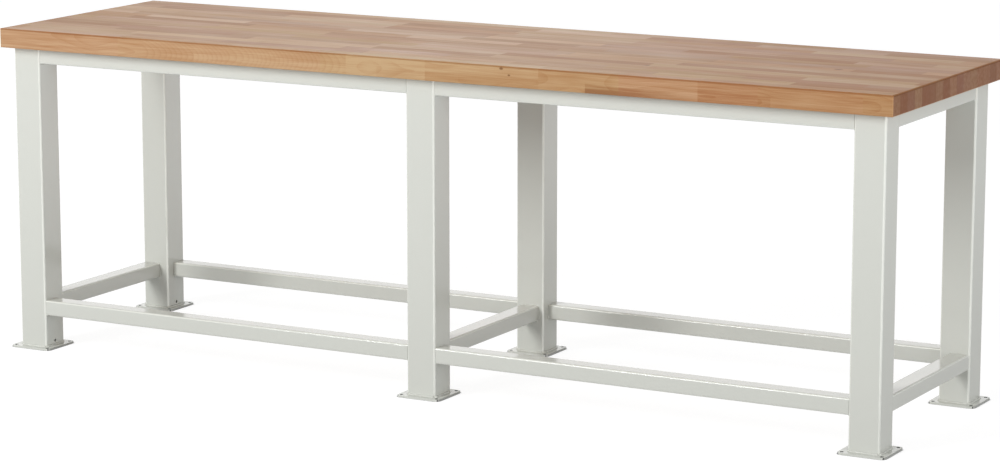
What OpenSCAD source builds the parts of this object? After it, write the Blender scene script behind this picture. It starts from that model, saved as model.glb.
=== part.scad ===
// Heavy-duty workbench: a thick beech worktop on a welded frame of square steel tube,
// with six legs, a foot plate under each leg, and stretchers low down between the legs.
// Millimetres. +X runs along the bench, +Y to the back, +Z up. The origin is on the
// floor under the middle of the worktop.

/* [Worktop] */
// Length of the worktop
worktop_length = 2500; // [1800:10:3000]
// Depth of the worktop, front to back
worktop_depth = 700; // [500:10:900]
// Thickness of the worktop
worktop_thickness = 50; // [42:1:80]
// Height of the worktop's upper face above the floor
worktop_height = 850; // [700:5:1000]
// Width of the chamfer along the worktop's edges
worktop_chamfer = 1.5; // [0.5:0.25:4]
// Overhang of the worktop past the legs at each end
end_overhang = 25; // [0:1:100]
// Overhang of the worktop past the legs at the front and back
side_overhang = 25; // [0:1:60]

/* [Legs] */
// Width of the square leg tube
leg_width = 80; // [60:1:100]
// Wall of the leg tube
leg_wall = 3; // [2:0.5:5]
// Outside corner radius of the leg tube
leg_corner = 6; // [5.5:0.5:10]
// Diameter of the drain hole near the foot of each leg
drain_d = 8; // [5:0.5:12]
// Gap between the foot weld and the drain hole
drain_gap = 3; // [0.5:0.5:20]

/* [Foot plates] */
// How far the square foot plate stands out past the leg on each side
plate_margin = 20; // [18:0.5:40]
// Thickness of the foot plate
plate_thickness = 5; // [3:0.5:12]
// Corner radius of the foot plate
plate_corner = 10; // [4:0.5:14]
// Diameter of each anchor hole
anchor_hole_d = 9; // [6:0.5:12]
// Distance of the anchor holes from the foot plate's edges
anchor_edge = 10; // [8:0.5:12]

/* [Rails and stretchers] */
// Width of the rail tube, level with the floor
rail_width = 50; // [30:1:60]
// Height of the rail tube
rail_height = 40; // [25:1:60]
// Wall of the rail tube
rail_wall = 2.5; // [1.5:0.5:4]
// Outside corner radius of the rail tube
rail_corner = 5; // [4.5:0.5:8]
// How far the rails lie behind the legs' outer faces
rail_setback = 3; // [0:0.5:10]
// Height of the stretchers' underside above the floor
stretcher_height = 90; // [40:5:300]

/* [Worktop fixings] */
// Number of screws in each long top rail
screws_per_rail = 3; // [2:1:6]
// Distance of the first and last screw from the ends of the rail
screw_end_distance = 150; // [60:5:250]
// Diameter of the wood screws
screw_d = 8; // [5:0.5:10]
// Length of the wood screws under the head
screw_length = 40; // [25:1:42]
// Length of the screw's tapered point
screw_point = 6; // [3:0.5:8]
// Width across the flats of the screw head
screw_head_flats = 13; // [10:0.5:17]
// Height of the screw head
screw_head_height = 5.5; // [3:0.5:8]
// Outside diameter of the washers
washer_d = 16; // [14:0.5:20]
// Thickness of the washers
washer_thickness = 1.6; // [1:0.1:3]

/* [Welds] */
// Leg length of the fillet weld round each leg's foot
foot_weld = 4; // [3:0.5:6]
// Leg length of the fillet welds under the ends of the rails and stretchers
rail_weld = 3; // [2:0.5:5]

/* [Clearances] */
// Gap round the screws in the rails
screw_clearance = 0.5; // [0.2:0.1:1]
// Gap round the screws in the washers
washer_clearance = 0.2; // [0.1:0.1:0.5]
// Gap round the washers in the holes that they go in through
access_clearance = 2; // [0.5:0.5:4]
// Gap round the screws' threads in the worktop
thread_clearance = 0.1; // [0.05:0.05:0.3]
// Room past the screws' points in the worktop
point_clearance = 2; // [0.5:0.5:3]

/* [Hidden] */
$fn = 64;

// The two ends and the middle along X, and the front and back along Y
LEFT = -1;
MIDDLE = 0;
RIGHT = 1;
FRONT = -1;
BACK = 1;

// Faces of the frame
frame_x = worktop_length / 2 - end_overhang;
frame_y = worktop_depth / 2 - side_overhang;
leg_top = worktop_height - worktop_thickness;

// Centre lines of the legs, of the rails and stretchers, and their bays
leg_x = frame_x - leg_width / 2;
leg_y = frame_y - leg_width / 2;
rail_x = frame_x - rail_setback - rail_width / 2;
rail_y = frame_y - rail_setback - rail_width / 2;
top_rail_z = leg_top - rail_height / 2;
stretcher_z = stretcher_height + rail_height / 2;
bay_length = leg_x - leg_width;
cross_length = 2 * leg_y - leg_width;

// Foot plates, holes and fixings
plate_width = leg_width + 2 * plate_margin;
anchor_offset = plate_width / 2 - anchor_edge;
drain_rise = foot_weld + drain_gap + drain_d / 2;
screw_hole_d = screw_d + 2 * screw_clearance;
washer_hole_d = screw_d + 2 * washer_clearance;
access_hole_d = washer_d + 2 * access_clearance;
pilot_hole_d = screw_d + 2 * thread_clearance;
screw_pitch = (bay_length - 2 * screw_end_distance) / (screws_per_rail - 1);
screw_head_z = leg_top - rail_wall - washer_thickness;
pilot_end = screw_head_z + screw_length + point_clearance;
cut = 1;

wood = "#cd9c6f";
paint = "#d3d5cf";
zinc = "#b9bdc0";

// Rectangle with rounded corners, centred
module rounded_rectangle(width, height, radius) {
    square([width - 2 * radius, height], center = true);
    square([width, height - 2 * radius], center = true);
    for (x = [-1, 1], y = [-1, 1])
        translate([x * (width / 2 - radius), y * (height / 2 - radius)])
            circle(r = radius);
}

// Rectangle with chamfered corners, centred
module chamfered_rectangle(width, height, chamfer) {
    x = width / 2;
    y = height / 2;
    polygon([
        [x - chamfer, -y], [x, -y + chamfer], [x, y - chamfer], [x - chamfer, y],
        [-x + chamfer, y], [-x, y - chamfer], [-x, -y + chamfer], [-x + chamfer, -y]
    ]);
}

// Section of a rectangular tube with rounded corners
module tube_section(width, height, wall, corner) {
    difference() {
        rounded_rectangle(width, height, corner);
        rounded_rectangle(width - 2 * wall, height - 2 * wall, corner - wall);
    }
}

// Right-angled section of a fillet weld, in the corner of two faces. It lies above that
// corner, or below it where y is -1.
module weld_section(size, y = 1) {
    polygon([[0, 0], [size, 0], [0, y * size]]);
}

// Puts an extrusion along X, its section's first axis along Y
module along_x(length) {
    rotate([90, 0, 90])
        linear_extrude(length, center = true) children();
}

// Puts an extrusion along Y, its section's first axis along X
module along_y(length) {
    rotate([90, 0, 0])
        linear_extrude(length, center = true) children();
}

// Places children at each screw of one long top rail, measured from the rail's middle
module at_rail_screws() {
    for (i = [0 : screws_per_rail - 1])
        translate([-bay_length / 2 + screw_end_distance + i * screw_pitch, 0, 0])
            children();
}

// Places children at the middle of each long top rail, on the floor
module at_long_rails() {
    for (bay = [LEFT, RIGHT], side = [FRONT, BACK])
        translate([bay * leg_x / 2, side * rail_y, 0])
            children();
}

// Solid beech board, drilled from below for the screws
module worktop() {
    color(wood)
    difference() {
        translate([0, 0, leg_top + worktop_thickness / 2])
        intersection() {
            linear_extrude(worktop_thickness, center = true)
                chamfered_rectangle(worktop_length, worktop_depth, worktop_chamfer);
            along_x(worktop_length)
                chamfered_rectangle(worktop_depth, worktop_thickness, worktop_chamfer);
            along_y(worktop_depth)
                chamfered_rectangle(worktop_length, worktop_thickness, worktop_chamfer);
        }
        at_long_rails() at_rail_screws()
            translate([0, 0, leg_top - cut])
                cylinder(d = pilot_hole_d, h = pilot_end - leg_top + cut);
    }
}

// Square tube that stands on its foot plate and reaches up to the worktop.
// The drain hole is in the right-hand face of the left legs and the left-hand face of the others.
module leg(column, side) {
    drain_side = column == LEFT ? RIGHT : LEFT;
    color(paint)
    translate([column * leg_x, side * leg_y, plate_thickness])
    difference() {
        linear_extrude(leg_top - plate_thickness)
            tube_section(leg_width, leg_width, leg_wall, leg_corner);
        translate([drain_side * leg_width / 2, 0, drain_rise])
            rotate([0, 90, 0])
                cylinder(d = drain_d, h = 2 * leg_wall + 2 * cut, center = true);
    }
}

// Square plate with a hole for a floor anchor in each corner
module foot_plate(column, side) {
    color(paint)
    translate([column * leg_x, side * leg_y, 0])
    difference() {
        linear_extrude(plate_thickness)
            rounded_rectangle(plate_width, plate_width, plate_corner);
        for (x = [-1, 1], y = [-1, 1])
            translate([x * anchor_offset, y * anchor_offset, -cut])
                cylinder(d = anchor_hole_d, h = plate_thickness + 2 * cut);
    }
}

// Tube along one bay, between the faces of two legs
module long_tube(bay, side, z) {
    translate([bay * leg_x / 2, side * rail_y, z])
        along_x(bay_length)
            tube_section(rail_width, rail_height, rail_wall, rail_corner);
}

// Tube from a front leg to the back leg behind it. The end ones lie near the frame's
// outer face and the middle one is centred on its legs.
module cross_tube(column, z) {
    translate([column * rail_x, 0, z])
        along_y(cross_length)
            tube_section(rail_width, rail_height, rail_wall, rail_corner);
}

// Long rail right under the worktop. Each worktop screw has a hole in the rail's upper
// wall, and below it a wider one, through which the screw goes in with its washer.
module top_rail(bay, side) {
    color(paint)
    difference() {
        long_tube(bay, side, top_rail_z);
        translate([bay * leg_x / 2, side * rail_y, top_rail_z])
            at_rail_screws() {
                cylinder(d = screw_hole_d, h = rail_height);
                translate([0, 0, -rail_height])
                    cylinder(d = access_hole_d, h = rail_height);
            }
    }
}

module top_cross_rail(column) {
    color(paint) cross_tube(column, top_rail_z);
}

module stretcher(bay, side) {
    color(paint) long_tube(bay, side, stretcher_z);
}

module cross_stretcher(column) {
    color(paint) cross_tube(column, stretcher_z);
}

// Hexagon wood screw, its head inside the rail and its point in the worktop
module screw() {
    translate([0, 0, screw_head_z]) {
        translate([0, 0, -screw_head_height])
            cylinder(d = screw_head_flats / cos(30), h = screw_head_height, $fn = 6);
        cylinder(d = screw_d, h = screw_length - screw_point);
        translate([0, 0, screw_length - screw_point])
            cylinder(d1 = screw_d, d2 = screw_d / 4, h = screw_point);
    }
}

module worktop_screws() {
    color(zinc) at_long_rails() at_rail_screws() screw();
}

module washer() {
    translate([0, 0, screw_head_z])
    difference() {
        cylinder(d = washer_d, h = washer_thickness);
        translate([0, 0, -cut])
            cylinder(d = washer_hole_d, h = washer_thickness + 2 * cut);
    }
}

module worktop_washers() {
    color(zinc) at_long_rails() at_rail_screws() washer();
}

// Closed weld bead round one leg, on its foot plate
module foot_weld_ring() {
    straight = leg_width - 2 * leg_corner;
    corner_at = leg_width / 2 - leg_corner;
    for (turn = [0 : 90 : 270])
        rotate([0, 0, turn]) {
            translate([leg_width / 2, 0, 0])
                along_y(straight) weld_section(foot_weld);
            translate([corner_at, corner_at, 0])
                rotate_extrude(angle = 90)
                    translate([leg_corner, 0]) weld_section(foot_weld);
        }
}

module foot_welds() {
    color(paint)
    for (column = [LEFT, MIDDLE, RIGHT], side = [FRONT, BACK])
        translate([column * leg_x, side * leg_y, plate_thickness])
            foot_weld_ring();
}

// Weld bead under each end of a long tube
module long_tube_welds(bay, side, z) {
    translate([bay * leg_x / 2, side * rail_y, z - rail_height / 2])
    for (end = [0, 1])
        mirror([end, 0, 0])
        translate([-bay_length / 2, 0, 0])
            along_y(rail_width - 2 * rail_corner)
                weld_section(rail_weld, y = -1);
}

// Weld bead under each end of a cross tube
module cross_tube_welds(column, z) {
    translate([column * rail_x, 0, z - rail_height / 2])
    for (end = [0, 1])
        mirror([0, end, 0])
        translate([0, -cross_length / 2, 0])
            along_x(rail_width - 2 * rail_corner)
                weld_section(rail_weld, y = -1);
}

module frame_welds() {
    color(paint)
    for (z = [top_rail_z, stretcher_z]) {
        for (bay = [LEFT, RIGHT], side = [FRONT, BACK])
            long_tube_welds(bay, side, z);
        for (column = [LEFT, MIDDLE, RIGHT])
            cross_tube_welds(column, z);
    }
}

worktop();
leg(LEFT, FRONT);  // leg_front_left
leg(MIDDLE, FRONT);  // leg_front_middle
leg(RIGHT, FRONT);  // leg_front_right
leg(LEFT, BACK);  // leg_back_left
leg(MIDDLE, BACK);  // leg_back_middle
leg(RIGHT, BACK);  // leg_back_right
foot_plate(LEFT, FRONT);  // foot_plate_front_left
foot_plate(MIDDLE, FRONT);  // foot_plate_front_middle
foot_plate(RIGHT, FRONT);  // foot_plate_front_right
foot_plate(LEFT, BACK);  // foot_plate_back_left
foot_plate(MIDDLE, BACK);  // foot_plate_back_middle
foot_plate(RIGHT, BACK);  // foot_plate_back_right
top_rail(LEFT, FRONT);  // top_rail_front_left
top_rail(RIGHT, FRONT);  // top_rail_front_right
top_rail(LEFT, BACK);  // top_rail_back_left
top_rail(RIGHT, BACK);  // top_rail_back_right
top_cross_rail(LEFT);  // top_rail_end_left
top_cross_rail(MIDDLE);  // top_rail_middle
top_cross_rail(RIGHT);  // top_rail_end_right
stretcher(LEFT, FRONT);  // stretcher_front_left
stretcher(RIGHT, FRONT);  // stretcher_front_right
stretcher(LEFT, BACK);  // stretcher_back_left
stretcher(RIGHT, BACK);  // stretcher_back_right
cross_stretcher(LEFT);  // stretcher_end_left
cross_stretcher(MIDDLE);  // stretcher_middle
cross_stretcher(RIGHT);  // stretcher_end_right
worktop_screws();
worktop_washers();
foot_welds();
frame_welds();
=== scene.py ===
# Heavy-duty workbench: a beech worktop glued up from staves, screwed to a welded frame of
# square and rectangular steel tube. Six legs stand on foot plates that are drilled for floor
# anchors, and the whole frame has a smooth light grey powder coat. Metres: +X along the bench,
# +Y to the back, +Z up, the origin on the floor under the middle of the worktop.
import math
from functools import partial

import bpy
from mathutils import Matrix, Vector


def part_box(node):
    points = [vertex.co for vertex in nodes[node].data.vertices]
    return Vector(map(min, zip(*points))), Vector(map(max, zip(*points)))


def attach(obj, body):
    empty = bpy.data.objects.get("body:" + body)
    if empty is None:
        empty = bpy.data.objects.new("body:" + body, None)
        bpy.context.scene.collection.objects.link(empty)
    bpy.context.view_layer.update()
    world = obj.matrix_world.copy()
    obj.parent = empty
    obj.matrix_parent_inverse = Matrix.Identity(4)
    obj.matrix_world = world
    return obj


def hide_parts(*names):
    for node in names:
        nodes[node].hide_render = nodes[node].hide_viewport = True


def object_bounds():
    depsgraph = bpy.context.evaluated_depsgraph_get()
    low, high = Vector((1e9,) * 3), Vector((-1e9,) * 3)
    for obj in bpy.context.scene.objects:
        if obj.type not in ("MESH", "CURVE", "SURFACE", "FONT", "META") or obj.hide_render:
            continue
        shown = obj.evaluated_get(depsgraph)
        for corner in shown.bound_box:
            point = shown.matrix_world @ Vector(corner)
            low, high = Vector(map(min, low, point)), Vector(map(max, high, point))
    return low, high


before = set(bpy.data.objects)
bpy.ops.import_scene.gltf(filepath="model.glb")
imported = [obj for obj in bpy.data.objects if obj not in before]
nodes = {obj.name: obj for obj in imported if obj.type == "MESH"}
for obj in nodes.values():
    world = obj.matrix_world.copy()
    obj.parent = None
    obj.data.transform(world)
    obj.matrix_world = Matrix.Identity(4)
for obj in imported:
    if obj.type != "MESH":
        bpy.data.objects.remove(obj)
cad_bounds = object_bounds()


# Foot plates
# Six square steel plates, cut from 5 mm sheet with rounded corners and four anchor holes
# each. Like the rest of the frame they have a light grey powder coat, baked on after welding,
# which flows into a smooth, faintly rippled skin with a soft gloss.
columns = ("left", "middle", "right")
sides = ("front", "back")
coat_grey = (0.640, 0.653, 0.606)
coat_roughness = 0.13
coat_ior = 1.5
# Clouds of a slightly lighter and darker shade, and patches of slightly more and less gloss
cloud_size = 0.22
cloud_depth = 0.015
gloss_size = 0.03
gloss_depth = 0.01
# The fine orange peel, and the slower waves under it where the melted powder sagged
orange_peel_size = 0.0022
orange_peel_height = 0.0000015
sag_size = 0.045
sag_height = 0.0000015
# Painted shade: how much lightness the coat keeps on the plates' cut ends, and in their
# bores, which lie further in than bore_inset
cut_end_shade = 0.55
bore_shade = 0.08
bore_inset = 0.002


def add_node(tree, kind, settings=None, **inputs):
    """A new shader node. Each named input is set to a value or joined to another node's output."""
    node = tree.nodes.new(kind)
    for name, value in (settings or {}).items():
        setattr(node, name, value)
    for name, value in inputs.items():
        join(tree, value, node.inputs[name])
    return node


def join(tree, value, socket):
    """Sets a socket to a value, or joins another node's output to it."""
    if isinstance(value, bpy.types.NodeSocket):
        tree.links.new(value, socket)
    else:
        socket.default_value = value


def calculate(tree, operation, *terms):
    """The output of a Math node. Each term is a number or another node's output."""
    node = add_node(tree, "ShaderNodeMath", {"operation": operation})
    for socket, value in zip(node.inputs, terms):
        join(tree, value, socket)
    return node.outputs[0]


def calculate_vector(tree, operation, *terms):
    """The output of a Vector Math node, which is a vector, or a number for LENGTH."""
    node = add_node(tree, "ShaderNodeVectorMath", {"operation": operation})
    for socket, value in zip(node.inputs, terms):
        join(tree, value, socket)
    return node.outputs["Value" if operation == "LENGTH" else "Vector"]


def scaled(tree, colour, factor):
    """A colour times a factor. Either is a value or another node's output."""
    node = add_node(tree, "ShaderNodeVectorMath", {"operation": "SCALE"}, Scale=factor)
    join(tree, colour, node.inputs[0])
    return node.outputs[0]


def axes_of(tree, vector):
    """A vector's numbers along X, Y and Z, by name."""
    return add_node(tree, "ShaderNodeSeparateXYZ", Vector=vector).outputs


def remap(tree, value, start, end, low=0.0, high=1.0):
    """A value that runs from low to high as the given one goes from start to end."""
    node = add_node(tree, "ShaderNodeMapRange", Value=value)
    for name, number in (("From Min", start), ("From Max", end), ("To Min", low), ("To Max", high)):
        node.inputs[name].default_value = number
    return node.outputs["Result"]


def lowered(tree, value, mask, amount):
    """A value, less the amount where the mask is 1."""
    return calculate(tree, "SUBTRACT", value, calculate(tree, "MULTIPLY", mask, amount))


def noise(tree, place, size, detail=2.0, roughness=0.5):
    """Noise from 0 to 1 whose blotches are about that size, in metres."""
    node = add_node(tree, "ShaderNodeTexNoise", Vector=place, Scale=1 / size, Detail=detail)
    node.inputs["Roughness"].default_value = roughness
    return node.outputs["Fac"]


def varied(tree, place, size, middle, depth):
    """A value that strays from the middle by up to the depth, in blotches of about that size."""
    return remap(tree, noise(tree, place, size, detail=3.0), 0, 1, middle - depth, middle + depth)


def facing(tree):
    """How squarely a point faces along X, Y and Z, each from 0 to 1."""
    normal = add_node(tree, "ShaderNodeNewGeometry").outputs["Normal"]
    return axes_of(tree, calculate_vector(tree, "ABSOLUTE", normal))


def new_material(name):
    """A material with its node tree, its shader and the piece's own coordinates."""
    material = bpy.data.materials.new(name)
    material.use_nodes = True
    tree = material.node_tree
    shader = tree.nodes["Principled BSDF"]
    place = add_node(tree, "ShaderNodeTexCoord").outputs["Object"]
    return material, tree, shader, place


def powder_coat(name, painted_light_and_shade=lambda tree, place: 1.0):
    """Light grey powder coat with a faint orange peel, made lighter or darker where its last argument
    paints light or shade.
    """
    material, tree, shader, place = new_material(name)
    cloud = varied(tree, place, cloud_size, 1.0, cloud_depth)
    shade = calculate(tree, "MULTIPLY", cloud, painted_light_and_shade(tree, place))
    join(tree, scaled(tree, coat_grey, shade), shader.inputs["Base Color"])
    join(tree, varied(tree, place, gloss_size, coat_roughness, gloss_depth), shader.inputs["Roughness"])
    sag = add_node(tree, "ShaderNodeBump", Height=noise(tree, place, sag_size), Distance=sag_height)
    peel = add_node(tree, "ShaderNodeBump", Height=noise(tree, place, orange_peel_size),
                    Distance=orange_peel_height, Normal=sag.outputs[0])
    join(tree, peel.outputs[0], shader.inputs["Normal"])
    shader.inputs["IOR"].default_value = coat_ior
    return material


def painted_plate_shade(tree, place):
    """Under 1 on the plates' cut ends, and dark in their bores: painted shade."""
    number = partial(calculate, tree)
    axes = axes_of(tree, place)
    faces = facing(tree)
    plate_x = (plate_low.x + plate_high.x) / 2
    plate_y = (plate_low.y + plate_high.y) / 2
    plate_half = (plate_high.x - plate_low.x) / 2
    # How far a point is from the middle of the nearest plate
    off_x = number("PINGPONG", number("ABSOLUTE", axes["X"]), plate_x / 2)
    off_y = number("ABSOLUTE", number("SUBTRACT", number("ABSOLUTE", axes["Y"]), -plate_y))
    inside = number("LESS_THAN", number("MAXIMUM", off_x, off_y), plate_half - bore_inset)
    upright = number("LESS_THAN", faces["Z"], 0.5)
    in_bore = number("MULTIPLY", inside, upright)
    at_end = number("GREATER_THAN", faces["X"], 0.5)
    return number("MULTIPLY", lowered(tree, 1.0, at_end, 1.0 - cut_end_shade),
                  lowered(tree, 1.0, in_bore, 1.0 - bore_shade))


def give(material, *names):
    """Puts a material on CAD nodes, in place of their plain one."""
    for name in names:
        nodes[name].data.materials.clear()
        nodes[name].data.materials.append(material)


plate_low, plate_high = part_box("foot_plate_front_right")
# The plates' coat carries painted shade on their cut ends and in their bores
give(powder_coat("powder_coat_on_plates", painted_plate_shade),
     *(f"foot_plate_{side}_{column}" for side in sides for column in columns))


# Legs
# Six lengths of 80 mm square steel tube, saw cut and welded upright on the foot plates. Each
# has a small drain hole near its foot, and the tops are closed by the worktop.
# A painted highlight: the tubes' coat is painted a quarter lighter along their rounded corners
highlight_gain = 1.25
# How squarely a point of a rounded corner faces along an axis where the painted highlight starts
# to fade, and where it ends
highlight_fade_start = 0.90
highlight_fade_end = 0.98


def painted_corner_highlight(tree, place):
    """Over 1 along the rounded corners of the tubes: a painted highlight."""
    faces = facing(tree)
    flat = calculate(tree, "MAXIMUM", faces["X"], calculate(tree, "MAXIMUM", faces["Y"], faces["Z"]))
    return remap(tree, flat, highlight_fade_start, highlight_fade_end, highlight_gain, 1.0)


# The tubes' coat carries the painted corner highlight
coat = powder_coat("powder_coat_on_tubes", painted_corner_highlight)
give(coat, *(f"leg_{side}_{column}" for side in sides for column in columns))


# Foot welds
# A fillet bead runs round each leg on its foot plate, laid by hand in short overlapping
# puddles, so its face is rippled. The coat runs over it.
# A bead's radius, and the step from one puddle to the next
foot_bead = 0.0038
foot_pitch = 0.0026
leg_corner = 0.006
corner_ripples = 3
# How far a puddle reaches to each side of its middle, in such steps
puddle_reach = 1.5
bead_shake = 0.00012
bead_coat = powder_coat("powder_coat_on_welds")


def select_only(piece):
    """Makes one object the selected and active one."""
    bpy.ops.object.select_all(action="DESELECT")
    piece.select_set(True)
    bpy.context.view_layer.objects.active = piece


def edit_all(operator, **settings):
    """Runs an edit mode operator on the whole mesh of the active object."""
    bpy.ops.object.mode_set(mode="EDIT")
    bpy.ops.mesh.select_all(action="SELECT")
    operator(**settings)
    bpy.ops.object.mode_set(mode="OBJECT")


def ripple(radius, pitch):
    """One puddle of a weld at the origin: a ball, stretched along X to reach its neighbours."""
    bpy.ops.object.select_all(action="DESELECT")
    bpy.ops.mesh.primitive_uv_sphere_add(segments=8, ring_count=5, radius=radius)
    edit_all(bpy.ops.transform.resize, value=(puddle_reach * pitch / radius, 1, 1))
    return bpy.context.active_object


def row_of_ripples(radius, pitch, length):
    """A straight bead of puddles along X, centred on the origin."""
    bead = ripple(radius, pitch)
    count = round(length / pitch) + 1
    row = bead.modifiers.new("row", "ARRAY")
    row.count = count
    row.use_relative_offset = False
    row.use_constant_offset = True
    row.constant_offset_displace = (length / (count - 1), 0, 0)
    bpy.ops.object.modifier_apply(modifier=row.name)
    edit_all(bpy.ops.transform.translate, value=(-length / 2, 0, 0))
    return bead


def repeat_round(piece, centre, angle, steps, chosen=lambda point: True):
    """Copies the chosen part of a mesh round an upright axis, steps times over an angle."""
    select_only(piece)
    for vertex in piece.data.vertices:
        vertex.select = chosen(vertex.co)
    bpy.ops.object.mode_set(mode="EDIT")
    bpy.ops.mesh.spin(steps=steps, dupli=True, angle=angle, center=centre, axis=(0, 0, 1))
    bpy.ops.object.mode_set(mode="OBJECT")


def copies(piece, count):
    """That many copies of a piece, each with its own mesh, with the piece itself as the first."""
    made = [piece]
    for _ in range(count - 1):
        select_only(piece)
        bpy.ops.object.duplicate()
        made.append(bpy.context.active_object)
    return made


def finish_beads(beads, name, node, seed):
    """Joins beads into one piece that stands for a node, a little uneven and smooth shaded."""
    bpy.ops.object.select_all(action="DESELECT")
    for bead in beads:
        bead.select_set(True)
    piece = bpy.context.view_layer.objects.active = beads[0]
    bpy.ops.object.transform_apply(location=True, rotation=True, scale=True)
    bpy.ops.object.join()
    piece.name = name
    edit_all(bpy.ops.transform.vertex_random, offset=bead_shake, seed=seed)
    bpy.ops.object.shade_smooth()
    piece.data.materials.clear()
    piece.data.materials.append(bead_coat)
    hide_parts(node)
    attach(piece, "root")


leg_low, leg_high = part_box("leg_front_left")
leg_half = (leg_high.x - leg_low.x) / 2
flat_half = leg_half - leg_corner
ring = row_of_ripples(foot_bead, foot_pitch, 2 * flat_half)
edit_all(bpy.ops.transform.translate, value=(0, -leg_half, 0))
# The first side's last puddle is repeated round its corner, and then the whole side round
# the leg
corner_step = math.radians(90) / (corner_ripples + 1)
repeat_round(ring, (flat_half, -flat_half, 0), corner_step * corner_ripples, corner_ripples,
             lambda point: point.x > flat_half - foot_pitch / 2)
repeat_round(ring, (0, 0, 0), math.radians(270), 3)
rings = copies(ring, len(sides) * len(columns))
feet = [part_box(f"leg_{side}_{column}") for side in sides for column in columns]
for bead, (low, high) in zip(rings, feet):
    bead.location = ((low.x + high.x) / 2, (low.y + high.y) / 2, low.z)
finish_beads(rings, "foot_weld_beads", "foot_welds", seed=3)


# Stretchers
# Rectangular tubes low down between the legs: one along each bay at the front and back, and
# one from front to back at each pair of legs. They are welded to the legs at both ends.
bays = ("left", "right")
give(coat, *(f"stretcher_{side}_{bay}" for side in sides for bay in bays))
give(coat, "stretcher_end_left", "stretcher_middle", "stretcher_end_right")


# Top rails
# The same rectangular tube, level with the tops of the legs. The worktop lies on the rails,
# and the long ones are drilled for its screws.
give(coat, *(f"top_rail_{side}_{bay}" for side in sides for bay in bays))
give(coat, "top_rail_end_left", "top_rail_middle", "top_rail_end_right")


# Frame welds
# Smaller beads hold each rail and stretcher to its two legs. They run along the flat of its
# underside, where they don't show from above.
rail_bead = 0.0030
rail_pitch = 0.0020
rail_corner = 0.005
# Where each bead lies, and how far it is turned
spots = []
for level in ("top_rail", "stretcher"):
    for side in sides:
        for bay in bays:
            low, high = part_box(f"{level}_{side}_{bay}")
            middle_y = (low.y + high.y) / 2
            spots += [((end, middle_y, low.z), math.radians(90)) for end in (low.x, high.x)]
    for column in columns:
        low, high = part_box(f"{level}_middle" if column == "middle" else f"{level}_end_{column}")
        middle_x = (low.x + high.x) / 2
        spots += [((middle_x, end, low.z), 0) for end in (low.y, high.y)]
low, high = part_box("stretcher_end_left")
bead = row_of_ripples(rail_bead, rail_pitch, high.x - low.x - 2 * rail_corner)
beads = copies(bead, len(spots))
for bead, (place, turn) in zip(beads, spots):
    bead.location = place
    bead.rotation_euler.z = turn
finish_beads(beads, "frame_weld_beads", "frame_welds", seed=5)


# Worktop
# One 50 mm board of solid beech, glued up from sixteen rows of staves with their ends butted
# at random. Steamed beech is a warm pinkish brown that differs from stave to stave, with
# fine grain along the board and end grain at both ends. It is oiled to a satin sheen.
board_low, board_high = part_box("worktop")
board_middle_z = (board_low.z + board_high.z) / 2
rows = 16
row_width = (board_high.y - board_low.y) / rows
# Keeps the board's faces inside the outer rows
row_margin = 0.001
# The staves' middle length, how much it scatters, and how far along the rows are shifted
stave_length = 0.36
stave_scatter = 0.8
row_shift = 90.0
# How squarely the front and the ends face along their axis
squarely = 0.9
# From the darkest to the lightest wood
beech_tones = (
    (0.00, (0.431, 0.173, 0.050)),
    (0.25, (0.492, 0.234, 0.086)),
    (0.50, (0.543, 0.287, 0.124)),
    (0.75, (0.595, 0.339, 0.164)),
    (1.00, (0.655, 0.410, 0.218)),
)
# Some staves are a little pinker and others a little yellower
pinker = (1.00, 0.985, 1.03)
yellower = (0.97, 1.035, 0.96)
end_grain_tint = (0.47, 0.372, 0.315)
# Painted shade: towards the right-hand end the staves are painted darker, where the light falls off
right_shade_start = -0.1
right_shade_end = 1.1
right_shade_tone = 0.42
# Where each stave of the front row starts, and how light it is along its top and bottom
front_row = (
    (-1.250, 0.72, 0.77), (-0.645, 0.76, 0.92), (-0.200, 1.00, 1.00), (-0.109, 1.00, 0.85),
    (0.024, 0.86, 0.50), (0.336, 0.58, 0.62), (0.759, 0.38, 0.25), (0.939, 0.36, 0.44),
)
front_blend_low = 0.4
front_blend_high = 0.6
# Growth rings round a heart that lies beside the stave, with long arches on the front
ring_width = 0.0045
ring_wander = 0.040
ring_sharpness = 3.0
heart_near = 0.045
heart_far = 0.120
heart_rise = 0.05
wander_along = 3.0
wander_by_row = 7.3
arches_start = -0.80
arches_end = -0.20
arch_spacing = 0.015
# Streaks and fine fibres along the stave, and the short dark flecks of beech: how narrow
# their noise is drawn, and its size, detail and roughness
streak_noise = (0.05, 0.010, 3.0, 0.5)
fibre_noise = (0.02, 0.0024, 4.0, 0.65)
fleck_noise = (0.22, 0.0009, 1.0, 0.5)
fleck_start = 0.62
fleck_full = 0.72
# How strongly they and the rings show, on the top and on the front
streak_contrast = (0.85, 1.10)
fibre_contrast = (0.50, 1.15)
ring_contrast = (0.10, 0.22)
fleck_contrast = 0.20
# The patch of heartwood: from its joint to where it has faded, and up to its ragged top
heartwood_start = 0.467
heartwood_full = 0.487
heartwood_end = 0.780
heartwood_low = 0.806
heartwood_top = 0.824
heartwood_ragged = 0.03
heartwood_tone = 0.85
heartwood_shade = 0.20
# Small knots: place and radius
knots = (
    ((0.241, -0.350, 0.844), 0.0040), ((0.262, -0.350, 0.829), 0.0028),
    ((0.972, -0.014, 0.850), 0.0080), ((0.542, -0.170, 0.850), 0.0060),
)
knot_squash = 0.6
knot_core = 0.4
knot_tone = 0.80
knot_shade = 0.40
# Half the width of a glue line, and where its colour ends
glue_half = 0.0001
glue_end = 0.0005
glue_shade = 0.80
glue_depth = 0.00006
# The sanded edges round the top: how wide their full tone is, and where it ends
rim_full = 0.0025
rim_end = 0.0045
rim_tone = 0.55
rim_shade = 0.15
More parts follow.
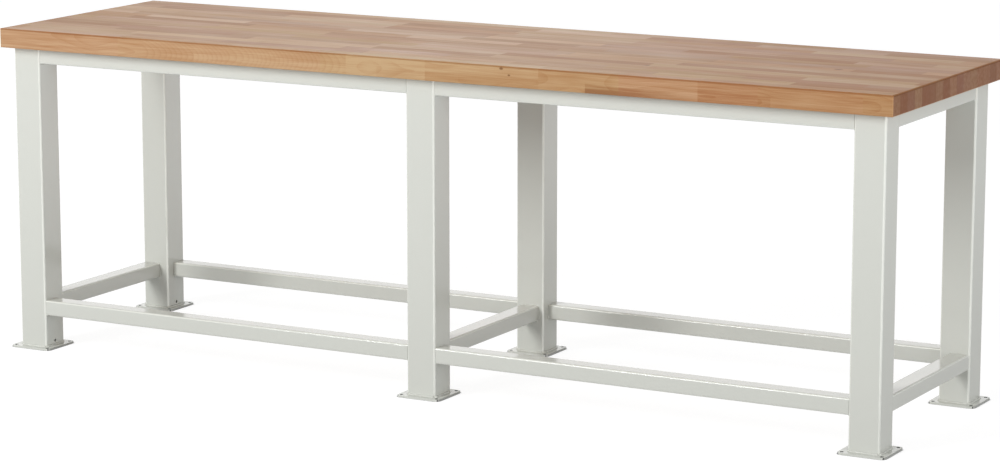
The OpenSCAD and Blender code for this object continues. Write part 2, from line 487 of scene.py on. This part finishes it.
# The satin oil, glossier on dense staves and streaks, and duller on end grain and sanded edges
beech_roughness = 0.42
beech_ior = 1.5
stave_gloss = 0.12
streak_gloss = 0.26
end_grain_dullness = 0.20
rim_dullness = 0.25
fibre_depth = 0.00004


def mix(tree, factor, start, end):
    """A number that runs from start to end as the factor goes from 0 to 1."""
    return add_node(tree, "ShaderNodeMix", Factor=factor, A=start, B=end).outputs[0]


def centred(tree, value, amount):
    """A value from 0 to 1, turned into one from minus to plus half the amount."""
    return calculate(tree, "MULTIPLY", calculate(tree, "SUBTRACT", value, 0.5), amount)


def diagonal(tree, a, b):
    """The long side of the right-angled triangle whose short sides are a and b."""
    squares = [calculate(tree, "MULTIPLY", short, short) for short in (a, b)]
    return calculate(tree, "SQRT", calculate(tree, "ADD", *squares))


def channels_of(tree, colour):
    """A colour's red, green and blue, by name."""
    return add_node(tree, "ShaderNodeSeparateColor", Color=colour).outputs


def ramp(tree, value, stops, interpolation="LINEAR"):
    """The colour of a ramp at a value. Each stop has its place from 0 to 1 and its colour."""
    node = add_node(tree, "ShaderNodeValToRGB", Fac=value)
    node.color_ramp.interpolation = interpolation
    elements = node.color_ramp.elements
    for position, colour in stops[1:-1]:
        elements.new(position).color = (*colour, 1)
    for element, (position, colour) in ((elements[0], stops[0]), (elements[-1], stops[-1])):
        element.position = position
        element.color = (*colour, 1)
    return node.outputs["Color"]


def drawn_out(tree, place, narrowing, size, detail, roughness):
    """Noise that is drawn out along the grain."""
    mapping = add_node(tree, "ShaderNodeMapping", Vector=place, Scale=(narrowing, 1.0, 1.0))
    return noise(tree, mapping.outputs[0], size, detail, roughness)


def staves(tree, x, row):
    """A row's staves: each one's own number and chance values, and how far off its ends are."""
    row_chance = add_node(tree, "ShaderNodeTexWhiteNoise", {"noise_dimensions": "1D"}, W=row)
    start = calculate(tree, "MULTIPLY", row_chance.outputs["Value"], row_shift)
    along = calculate(tree, "ADD", calculate(tree, "DIVIDE", x, stave_length), start)
    cells, borders = [
        add_node(tree, "ShaderNodeTexVoronoi", {"voronoi_dimensions": "1D", "feature": feature},
                 W=along, Scale=1.0, Randomness=stave_scatter).outputs
        for feature in ("F1", "DISTANCE_TO_EDGE")]
    to_end = calculate(tree, "MULTIPLY", borders["Distance"], stave_length)
    return cells["W"], channels_of(tree, cells["Color"]), to_end


def stave_tone(tree, x, z, first_row, chance):
    """How light each stave is: as listed in the front row, and by chance in the others, which get painted
    shade towards the right-hand end.
    """
    length = board_high.x - board_low.x
    thickness = board_high.z - board_low.z
    stops = [((start - board_low.x) / length, (upper, lower, 0)) for start, upper, lower in front_row]
    listed = channels_of(tree, ramp(tree, remap(tree, x, board_low.x, board_high.x), stops, "CONSTANT"))
    level = remap(tree, z, board_low.z + front_blend_low * thickness,
                  board_low.z + front_blend_high * thickness)
    front = mix(tree, level, listed["Green"], listed["Red"])
    # Painted shade, darker towards the right-hand end
    darker = remap(tree, x, right_shade_start, right_shade_end, 0, right_shade_tone)
    return mix(tree, first_row, calculate(tree, "SUBTRACT", chance, darker), front)


def growth_rings(tree, x, z, row, in_row, stave, chances, on_front):
    """Rings that run as lines along the top, and as long arches on the front."""
    number = partial(calculate, tree)
    beside = number("SIGN", number("SUBTRACT", chances["Green"], 0.5))
    heart_y = number("MULTIPLY", beside, remap(tree, chances["Blue"], 0, 1, heart_near, heart_far))
    heart_z = centred(tree, chances["Green"], heart_rise)
    wander = add_node(tree, "ShaderNodeCombineXYZ", X=number("MULTIPLY", x, wander_along),
                      Y=number("MULTIPLY", row, wander_by_row), Z=stave)
    bend = noise(tree, wander.outputs[0], 1.0)
    reach = diagonal(tree, number("ADD", centred(tree, in_row, row_width), heart_y),
                    number("ADD", number("SUBTRACT", z, board_middle_z), heart_z))
    turns = number("DIVIDE", number("ADD", reach, number("MULTIPLY", bend, ring_wander)), ring_width)
    arches = remap(tree, x, arches_start, arches_end, 0, (arches_end - arches_start) / arch_spacing)
    turns = number("ADD", turns, number("MULTIPLY", arches, on_front))
    return number("POWER", number("FRACT", turns), ring_sharpness)


def heartwood(tree, x, z, streak, first_row):
    """A patch of dark heartwood on the lower front edge, cut off by a joint."""
    number = partial(calculate, tree)
    past_joint = number("GREATER_THAN", x, heartwood_start)
    fade = remap(tree, x, heartwood_full, heartwood_end, 1.0, 0.0)
    ragged = number("ADD", z, centred(tree, streak, heartwood_ragged))
    rise = remap(tree, ragged, heartwood_low, heartwood_top, 1.0, 0.0)
    return number("MULTIPLY", number("MULTIPLY", past_joint, fade), number("MULTIPLY", rise, first_row))


def knot_mark(tree, place, centre, radius):
    """1 in a knot's core and 0 outside it. A knot is longer along the grain than across it."""
    shift = calculate_vector(tree, "SUBTRACT", place, centre)
    squashed = calculate_vector(tree, "MULTIPLY", shift, (knot_squash, 1.0, 1.0))
    gap = calculate_vector(tree, "LENGTH", squashed)
    return remap(tree, gap, knot_core * radius, radius, 1.0, 0.0)


def off_glue(tree, in_row, to_end, first_row):
    """0 on the glue lines between rows and between the ends of staves, and 1 elsewhere.

    The front row is listed by itself, so chance draws no stave ends there."""
    off_middle = calculate(tree, "ABSOLUTE", calculate(tree, "SUBTRACT", in_row, 0.5))
    to_row_edge = calculate(tree, "MULTIPLY", calculate(tree, "SUBTRACT", 0.5, off_middle), row_width)
    nearest = calculate(tree, "MINIMUM", to_row_edge, calculate(tree, "ADD", to_end, first_row))
    return remap(tree, nearest, glue_half, glue_end)


def sanded_rim(tree, x, y, z):
    """1 along the sanded edges round the top, and 0 elsewhere."""
    number = partial(calculate, tree)
    inwards = [number("SUBTRACT", (b - a) / 2, number("ABSOLUTE", number("SUBTRACT", axis, (a + b) / 2)))
               for axis, a, b in ((x, board_low.x, board_high.x), (y, board_low.y, board_high.y))]
    below = number("SUBTRACT", board_high.z, z)
    to_edge = number("MAXIMUM", below, number("MINIMUM", *inwards))
    return remap(tree, to_edge, rim_full, rim_end, 1, 0)


def beech():
    """Beech staves laid along X in rows across Y, with end grain where the board is cut across."""
    material, tree, shader, place = new_material("oiled_beech_staves")
    number = partial(calculate, tree)
    axes = axes_of(tree, place)
    x, y, z = axes["X"], axes["Y"], axes["Z"]
    faces = facing(tree)
    on_front = number("GREATER_THAN", faces["Y"], squarely)
    cut_across = number("GREATER_THAN", faces["X"], squarely)
    across = remap(tree, y, board_low.y, board_high.y, row_margin, rows - row_margin)
    row = number("FLOOR", across)
    in_row = number("FRACT", across)
    first_row = number("LESS_THAN", row, 0.5)
    stave, chances, to_end = staves(tree, x, row)

    streak = drawn_out(tree, place, *streak_noise)
    fibre = drawn_out(tree, place, *fibre_noise)
    fleck = remap(tree, drawn_out(tree, place, *fleck_noise), fleck_start, fleck_full)
    rings = growth_rings(tree, x, z, row, in_row, stave, chances, on_front)
    tone = stave_tone(tree, x, z, first_row, chances["Red"])
    for marking, contrast in ((streak, streak_contrast), (fibre, fibre_contrast)):
        tone = number("ADD", tone, centred(tree, marking, remap(tree, on_front, 0, 1, *contrast)))
    tone = lowered(tree, tone, rings, remap(tree, on_front, 0, 1, *ring_contrast))
    tone = lowered(tree, tone, fleck, fleck_contrast)

    # Heartwood, knots and the sanded edges, which drink more oil, take down both the tone and
    # the shade, and glue lines only the shade
    patch = heartwood(tree, x, z, streak, first_row)
    rim = sanded_rim(tree, x, y, z)
    marks = [(patch, heartwood_tone, heartwood_shade)]
    marks += [(knot_mark(tree, place, centre, radius), knot_tone, knot_shade) for centre, radius in knots]
    marks += [(rim, rim_tone, rim_shade)]
    seam = off_glue(tree, in_row, to_end, first_row)
    shade = remap(tree, seam, 0, 1, glue_shade, 1.0)
    for mark, darker, dimmer in marks:
        tone = lowered(tree, tone, mark, darker)
        shade = number("MULTIPLY", shade, lowered(tree, 1.0, mark, dimmer))

    tint = ramp(tree, cut_across, ((0, (1, 1, 1)), (1, end_grain_tint)))
    hues = [remap(tree, chances["Blue"], 0, 1, pink, yellow) for pink, yellow in zip(pinker, yellower)]
    hue = add_node(tree, "ShaderNodeCombineXYZ", X=hues[0], Y=hues[1], Z=hues[2]).outputs[0]
    colour = calculate_vector(tree, "MULTIPLY", ramp(tree, tone, beech_tones), tint)
    colour = calculate_vector(tree, "MULTIPLY", colour, hue)
    join(tree, scaled(tree, colour, shade), shader.inputs["Base Color"])

    rough = number("ADD", beech_roughness, centred(tree, chances["Green"], stave_gloss))
    rough = number("SUBTRACT", rough, centred(tree, streak, streak_gloss))
    for dull, amount in ((cut_across, end_grain_dullness), (rim, rim_dullness)):
        rough = number("ADD", rough, number("MULTIPLY", dull, amount))
    join(tree, rough, shader.inputs["Roughness"])
    grain = add_node(tree, "ShaderNodeBump", Height=fibre, Distance=fibre_depth)
    groove = add_node(tree, "ShaderNodeBump", Height=seam, Distance=glue_depth, Normal=grain.outputs[0])
    join(tree, groove.outputs[0], shader.inputs["Normal"])
    shader.inputs["IOR"].default_value = beech_ior
    return material


give(beech(), "worktop")


# Worktop screws and washers
# Zinc-plated hexagon wood screws, driven up through the upper walls of the long top rails,
# each on a washer. They sit inside the tube, over the holes that they went in through.
zinc_tones = ((0, (0.50, 0.52, 0.54)), (1, (0.66, 0.68, 0.70)))
zinc_roughness = (0.28, 0.40)
crystal_size = 0.003


def zinc_plate():
    """Bright zinc: a grey metal with a faint crystal mottle."""
    material, tree, shader, place = new_material("zinc_plate")
    mottle = noise(tree, place, crystal_size, detail=3.0)
    join(tree, ramp(tree, mottle, zinc_tones), shader.inputs["Base Color"])
    join(tree, remap(tree, mottle, 0, 1, *zinc_roughness), shader.inputs["Roughness"])
    shader.inputs["Metallic"].default_value = 1.0
    return material


give(zinc_plate(), "worktop_screws", "worktop_washers")


# Floor
# A wide sheet of white paper. Its reflectance is painted lower round the bench, as painted shade,
# and further out it glows, as painted light. To the camera it is clean white, as in a picture
# exposed for it, but for painted contact shadows.
paper_width = 240
paper_near = 0.55
paper_far = 0.70
paper_glow = 0.22
paper_roughness = 0.9
clear_start = 0.2
clear_end = 2.2
seen_white = 0.90
seen_shading = 0.20
contact_samples = 8
contact_reach = 0.020
contact_dark = 0.50
contact_clear = 0.85


def white_paper():
    """Paper that lights the bench from below, and that the camera sees as nearly even white."""
    material, tree, shader, place = new_material("white_floor")
    number = partial(calculate, tree)
    axes = axes_of(tree, place)
    # How far a point is from the bench's outline on the floor
    outside = [number("MAXIMUM", number("SUBTRACT", number("ABSOLUTE", axis), edge), 0.0)
               for axis, edge in ((axes["X"], cad_bounds[1][0]), (axes["Y"], cad_bounds[1][1]))]
    clear = remap(tree, diagonal(tree, *outside), clear_start, clear_end)
    bounce = remap(tree, clear, 0, 1, paper_near, paper_far)
    glow = remap(tree, clear, 0, 1, 0, paper_glow)
    seen = add_node(tree, "ShaderNodeLightPath").outputs["Is Camera Ray"]
    contact = add_node(tree, "ShaderNodeAmbientOcclusion", {"samples": contact_samples},
                       Distance=contact_reach)
    white = remap(tree, contact.outputs["AO"], contact_dark, contact_clear, 0.0, seen_white)
    join(tree, mix(tree, seen, glow, white), shader.inputs["Emission Strength"])
    join(tree, scaled(tree, (1, 1, 1), mix(tree, seen, bounce, seen_shading)), shader.inputs["Base Color"])
    shader.inputs["Emission Color"].default_value = (1, 1, 1, 1)
    shader.inputs["Roughness"].default_value = paper_roughness
    shader.inputs["Specular IOR Level"].default_value = 0.0
    material.cycles.emission_sampling = "NONE"
    return material


bpy.ops.object.select_all(action="DESELECT")
bpy.ops.mesh.primitive_plane_add(size=paper_width, location=(0, 0, 0))
floor = bpy.context.active_object
floor.name = "floor"
floor.visible_glossy = False
floor.data.materials.append(white_paper())


# Room
# A plain white room, a little brighter in front than behind. Its right-hand wall is bright,
# and the wall behind the bench is lit in a low band and in an upright one. Directions along
# X, Y and Z have length 1, and turns run in degrees from the front round to the right.
front_level = 0.52
back_level = 0.22
front_end = -0.4
back_start = 0.6
right_level = 0.90
right_start = 0.3
right_full = 0.7
band_level = 1.50
band_low = 0.165
band_high = 0.275
band_blur = 0.03
band_start = 0.1
band_full = 0.6
upright_turn = 209.4
upright_spread = 4.5
upright_glow = 0.93
ceiling_level = 0.40
ceiling_start = 0.45
ceiling_full = 0.75
# What gloss sees below the horizon: an even sheen, with a bright one to the right
sheen_level = 0.80
sheen_glow = 3.6
sheen_start = 7
sheen_end = 121
sheen_blur = 3
sheen_low = -0.250
sheen_high = -0.232
# and a softer one behind that, on the right as well
far_glow = 2.1
far_start = 120
far_full = 143
far_end = 159
far_low = -0.208
far_high = -0.160
horizon_blur = 0.01


def between(tree, value, start, end, blur):
    """1 from start to end, and 0 past the blur outside them."""
    return calculate(tree, "MULTIPLY", remap(tree, value, start - blur, start),
                     remap(tree, value, end, end + blur, 1, 0))


def wall_light(tree, axes, turn):
    """How bright the walls and the ceiling are."""
    number = partial(calculate, tree)
    off = number("WRAP", number("SUBTRACT", turn, math.radians(upright_turn)), math.pi, -math.pi)
    steps = number("DIVIDE", off, math.radians(upright_spread))
    fall = number("MULTIPLY", number("MULTIPLY", steps, steps), -0.5)
    glow = number("MULTIPLY", number("EXPONENT", fall), upright_glow)
    walls = remap(tree, axes["Y"], front_end, back_start, front_level, back_level)
    walls = number("ADD", walls, glow)
    walls = mix(tree, remap(tree, axes["X"], right_start, right_full), walls, right_level)
    band = between(tree, axes["Z"], band_low, band_high, band_blur)
    behind = number("MULTIPLY", remap(tree, axes["Y"], band_start, band_full), band)
    walls = mix(tree, behind, walls, band_level)
    return mix(tree, remap(tree, axes["Z"], ceiling_start, ceiling_full), walls, ceiling_level)


def floor_sheen(tree, axes, turn):
    """What gloss sees below the horizon, where the floor is hidden from it.

    A bright sheen to the right draws the lines of light down the rounded corners of the tubes.
    A softer one behind it lightens the upper part of the side faces."""
    number = partial(calculate, tree)
    near = between(tree, turn, math.radians(sheen_start), math.radians(sheen_end), math.radians(sheen_blur))
    near = number("MULTIPLY", near, remap(tree, axes["Z"], sheen_low, sheen_high, 0, sheen_glow))
    far = number("MULTIPLY", remap(tree, turn, math.radians(far_full), math.radians(far_end), far_glow, 0),
                 remap(tree, axes["Z"], far_low, far_high))
    far = number("MULTIPLY", far, number("GREATER_THAN", turn, math.radians(far_start)))
    return number("ADD", number("ADD", near, far), sheen_level)


world = bpy.data.worlds.new("studio")
bpy.context.scene.world = world
world.use_nodes = True
tree = world.node_tree
axes = axes_of(tree, add_node(tree, "ShaderNodeTexCoord").outputs["Generated"])
turn = calculate(tree, "ARCTAN2", axes["X"], calculate(tree, "MULTIPLY", axes["Y"], -1.0))
above = remap(tree, axes["Z"], -horizon_blur, horizon_blur)
level = mix(tree, above, floor_sheen(tree, axes, turn), wall_light(tree, axes, turn))
seen = add_node(tree, "ShaderNodeLightPath").outputs["Is Camera Ray"]
backdrop = tree.nodes["Background"]
backdrop.inputs["Color"].default_value = (1.0, 1.0, 1.0, 1)
join(tree, mix(tree, seen, level, 1.0), backdrop.inputs["Strength"])


# Lights
# A large soft light stands in front of the bench to the left, well above it, and a weak one
# low down to the right.
light_aim = Vector((0, 0, 0.4))


def soft_light(name, turn, rise, distance, width, height, strength):
    """A rectangular light turn degrees round to the right and rise degrees up, facing the bench."""
    a, e = math.radians(turn), math.radians(rise)
    direction = Vector((math.sin(a) * math.cos(e), -math.cos(a) * math.cos(e), math.sin(e)))
    data = bpy.data.lights.new(name, "AREA")
    data.shape = "RECTANGLE"
    data.size = width
    data.size_y = height
    data.energy = strength
    light = bpy.data.objects.new(name, data)
    bpy.context.scene.collection.objects.link(light)
    light.location = light_aim + direction * distance
    light.rotation_euler = direction.to_track_quat("Z", "Y").to_euler()
    light.visible_camera = False


soft_light("key", turn=-27, rise=27.0, distance=11.5, width=3.4, height=5.4, strength=740)
soft_light("fill", turn=60, rise=8, distance=6.0, width=3.0, height=2.0, strength=30)


# Camera
# As in the photograph: seen from the front and somewhat from the right, a little above the
# worktop, with a long lens.
camera_place = (4.091, -7.356, 1.956)
camera_turn = 28.81
camera_dip = 10.77
lens_pixels = 3363
picture_width = 1000
data = bpy.data.cameras.new("camera")
data.sensor_width = 36
data.lens = lens_pixels * data.sensor_width / picture_width
data.clip_end = 300
camera = bpy.data.objects.new("camera", data)
bpy.context.scene.collection.objects.link(camera)
camera.location = camera_place
camera.rotation_euler = (math.radians(90 - camera_dip), 0, math.radians(camera_turn))
bpy.context.scene.camera = camera
bpy.context.scene.view_settings.view_transform = "Standard"
